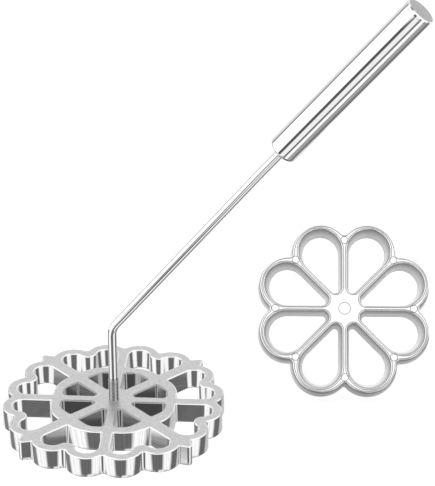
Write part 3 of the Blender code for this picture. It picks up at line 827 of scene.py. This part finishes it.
for name, (node, slot, finishes, closed, corners) in turnedPieces.items():
    turned = turnMesh(name, corners, closed, handleLook["gripSides"], *finishes)
    piece = keepMesh(name, turned, gripPlace)
    checkClosed(piece)
    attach(piece, "handle")
    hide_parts(node)
print("grip turned")


# floor, lamps and what the metal reflects
cameraLook = {
    "place": (94.6 * mm, -774.8 * mm, 482.4 * mm), "turn": (63.57, 0, 3.26), "lens": 154.3,
    "sensor": 36,
}
studioLook = {
    "floorSize": 6.0, "floorTone": 0.25, "floorGlow": 0.84, "plainTone": 0.4,
    "clearReach": 200 * mm, "clearBlend": 0.05, "roomLevel": 0.82, "mirroredLevel": 1.15,
    "lampSize": 1.4, "lampHeight": 1.6, "lampPower": 14.0, "lampAside": -0.35, "lampFront": -0.25,
}
# soft-edged patches of the room: azimuth is 0 towards the front and grows to the right
reflectedCards = [
    {"azimuth": 0, "width": 400, "elevation": -90, "height": 130, "soft": 60, "level": 0.4},
    {"azimuth": 0, "width": 400, "elevation": -90, "height": 44, "soft": 14, "level": 0.06},
    {"azimuth": 0, "width": 190, "elevation": 45, "height": 70, "soft": 30, "level": 1.2},
    {"azimuth": 0, "width": 400, "elevation": 90, "height": 30, "soft": 12, "level": 0.2},
    {"azimuth": 180, "width": 120, "elevation": 30, "height": 60, "soft": 30, "level": 0.88},
    {"azimuth": -180, "width": 120, "elevation": 30, "height": 60, "soft": 30, "level": 0.88},
]
# plain light and dark strips of the room: each reaches from the one before it to its own angle,
# in degrees round the grip or the room
gripStrips = {"lean": -0.41, "halfLean": 0.17, "softLean": 0.02, "soft": 2, "strips": [
    (-120, 0.8), (-105, 0.2), (-15, 1.3), (5, 0.1), (35, 1.0), (50, 0.2), (70, 1.3), (100, 0.4),
    (130, 0.2), (180, 1.0)]}
wallStrips = {"elevation": -30, "halfHeight": 16, "softHeight": 3, "streaks": 14,
              "faintest": 0.56, "soft": 6, "strips": [
    (-150, 0.8), (-135, 1.4), (-90, 0.3), (-30, 1.4), (30, 0.2), (75, 1.4), (120, 0.2), (180, 0.8)]}


def softStep(tree, value, middle, half, soft):
    away = calc(tree, "ABSOLUTE", calc(tree, "SUBTRACT", value, middle))
    return mapRange(tree, away, half - soft, half + soft, 1.0, 0.0, "SMOOTHSTEP")


def hangCard(tree, level, azimuth, elevation, card):
    masks = [softStep(tree, angle, math.radians(middle), math.radians(size) / 2,
                      math.radians(card["soft"]) / 2)
             for angle, middle, size in ((azimuth, card["azimuth"], card["width"]),
                                         (elevation, card["elevation"], card["height"]))]
    return blendLevels(tree, calc(tree, "MULTIPLY", *masks), level, card["level"])


def stripLevel(tree, angle, look):
    strips, soft = look["strips"], look["soft"]
    ramp = tree.nodes.new("ShaderNodeValToRGB")
    brightest = max(strip[1] for strip in strips)
    corners, start = [], -180
    for end, level in strips:
        corners += [(start + soft, level), (end - soft, level)]
        start = end
    stops = ramp.color_ramp.elements
    while len(stops) < len(corners):
        stops.new(1)
    for stop, (degrees, level) in zip(stops, corners):
        stop.position = (degrees + 180) / 360
        stop.color = (*[level / brightest] * 3, 1)
    tree.links.new(calc(tree, "MULTIPLY_ADD", angle, 1 / fullTurn, 0.5), ramp.inputs[0])
    return calc(tree, "MULTIPLY", ramp.outputs[0], brightest)


# how far a direction leans along the grip, and its angle round it from the camera's side
def gripAngle(tree, direction):
    axis = (gripPlace.to_3x3() @ Vector((0, 0, 1))).normalized()
    middle = gripPlace @ Vector((0, 0, handleLook["gripLength"] / 2))
    toCamera = (Vector(cameraLook["place"]) - middle).normalized()
    front = (toCamera - axis * toCamera.dot(axis)).normalized()
    alongAxis, alongFront, alongSide = [vectorCalc(tree, "DOT_PRODUCT", direction, way)
                                        for way in (axis, front, axis.cross(front))]
    return alongAxis, calc(tree, "ARCTAN2", alongSide, alongFront)


def makeRoom(look, cards):
    world = bpy.data.worlds.new("studioRoom")
    bpy.context.scene.world = world
    world.use_nodes = True
    tree = world.node_tree
    tree.nodes.clear()
    ray = tree.nodes.new("ShaderNodeTexCoord").outputs["Generated"]
    spot = addNode(tree, "ShaderNodeSeparateXYZ", {0: ray}).outputs
    azimuth = calc(tree, "ARCTAN2", spot["X"], calc(tree, "MULTIPLY", spot["Y"], -1.0))
    elevation = calc(tree, "ARCSINE", spot["Z"])
    level = look["mirroredLevel"]
    for card in cards:
        level = hangCard(tree, level, azimuth, elevation, card)
    alongAxis, roundGrip = gripAngle(tree, ray)
    nearGrip = softStep(tree, alongAxis, gripStrips["lean"], gripStrips["halfLean"],
                        gripStrips["softLean"])
    level = blendLevels(tree, nearGrip, level, stripLevel(tree, roundGrip, gripStrips))
    nearWall = softStep(tree, elevation, *[math.radians(wallStrips[key]) for key in
                                           ("elevation", "halfHeight", "softHeight")])
    streaks = addNode(tree, "ShaderNodeTexNoise",
                      {"W": azimuth, "Scale": wallStrips["streaks"], "Detail": 3},
                      noise_dimensions="1D").outputs["Fac"]
    streaked = calc(tree, "MULTIPLY", stripLevel(tree, azimuth, wallStrips),
                    spread(tree, streaks, wallStrips["faintest"], 1.0))
    level = blendLevels(tree, nearWall, level, streaked)
    rays = tree.nodes.new("ShaderNodeLightPath").outputs
    lit = blendLevels(tree, rays["Is Diffuse Ray"], level, look["roomLevel"])
    seen = blendLevels(tree, rays["Is Camera Ray"], lit, 1.0)
    glow = addNode(tree, "ShaderNodeBackground", {"Color": (1, 1, 1, 1), "Strength": seen})
    out = tree.nodes.new("ShaderNodeOutputWorld")
    tree.links.new(glow.outputs[0], out.inputs[0])


def makeFloor(look):
    half = look["floorSize"] / 2
    mesh = bpy.data.meshes.new("floor")
    mesh.from_pydata([(-half, -half, 0), (half, -half, 0), (half, half, 0), (-half, half, 0)], [],
                     [(0, 1, 2, 3)])
    material = bpy.data.materials.new("paleFloor")
    material.use_nodes = True
    tree = material.node_tree
    tree.nodes.clear()
    shaded, plain = [addNode(tree, "ShaderNodeBsdfDiffuse", {"Color": (*[look[tone]] * 3, 1)})
                     for tone in ("floorTone", "plainTone")]
    glow = addNode(tree, "ShaderNodeEmission", {"Strength": look["floorGlow"]})
    seen = tree.nodes.new("ShaderNodeAddShader")
    tree.links.new(shaded.outputs[0], seen.inputs[0])
    tree.links.new(glow.outputs[0], seen.inputs[1])
    rays = tree.nodes.new("ShaderNodeLightPath").outputs
    spot = tree.nodes.new("ShaderNodeTexCoord").outputs["Object"]
    fromGrip = vectorCalc(tree, "SUBTRACT", spot, gripPlace.translation)
    level = stripLevel(tree, gripAngle(tree, fromGrip)[1], gripStrips)
    striped = addNode(tree, "ShaderNodeEmission", {"Strength": level})
    clear = tree.nodes.new("ShaderNodeBsdfTransparent")
    isFar = mapRange(tree, vectorCalc(tree, "LENGTH", spot),
                     look["clearReach"] * (1 - look["clearBlend"]),
                     look["clearReach"] * (1 + look["clearBlend"]), 0.0, 1.0)
    mirrored = addNode(tree, "ShaderNodeMixShader",
                       {0: isFar, 1: clear.outputs[0], 2: striped.outputs[0]})
    forCamera = addNode(tree, "ShaderNodeMixShader",
                        {0: rays["Is Camera Ray"], 1: plain.outputs[0], 2: seen.outputs[0]})
    forMetal = addNode(tree, "ShaderNodeMixShader",
                       {0: rays["Is Glossy Ray"], 1: forCamera.outputs[0], 2: mirrored.outputs[0]})
    out = tree.nodes.new("ShaderNodeOutputMaterial")
    tree.links.new(forMetal.outputs[0], out.inputs[0])
    material.cycles.emission_sampling = "NONE"  # mirrored strips are not a lamp
    mesh.materials.append(material)
    floor = bpy.data.objects.new("floor", mesh)
    bpy.context.scene.collection.objects.link(floor)


def hangLamp(look):
    lamp = bpy.data.lights.new("softLamp", "AREA")
    lamp.size = look["lampSize"]
    lamp.energy = look["lampPower"]
    hung = bpy.data.objects.new("softLamp", lamp)
    bpy.context.scene.collection.objects.link(hung)
    hung.location = (look["lampAside"], look["lampFront"], look["lampHeight"])
    hung.rotation_euler = (-hung.location).to_track_quat("-Z", "Y").to_euler()
    hung.visible_glossy = False


makeRoom(studioLook, reflectedCards)
makeFloor(studioLook)
hangLamp(studioLook)
print("studio lit")

lens = bpy.data.cameras.new("photoCamera")
lens.sensor_fit = "HORIZONTAL"
lens.sensor_width = cameraLook["sensor"]
lens.lens = cameraLook["lens"]
lens.clip_start = 0.01
camera = bpy.data.objects.new("photoCamera", lens)
bpy.context.scene.collection.objects.link(camera)
camera.location = cameraLook["place"]
camera.rotation_euler = Euler([math.radians(angle) for angle in cameraLook["turn"]])
bpy.context.scene.camera = camera
bpy.context.scene.view_settings.view_transform = "Standard"
print("camera set")
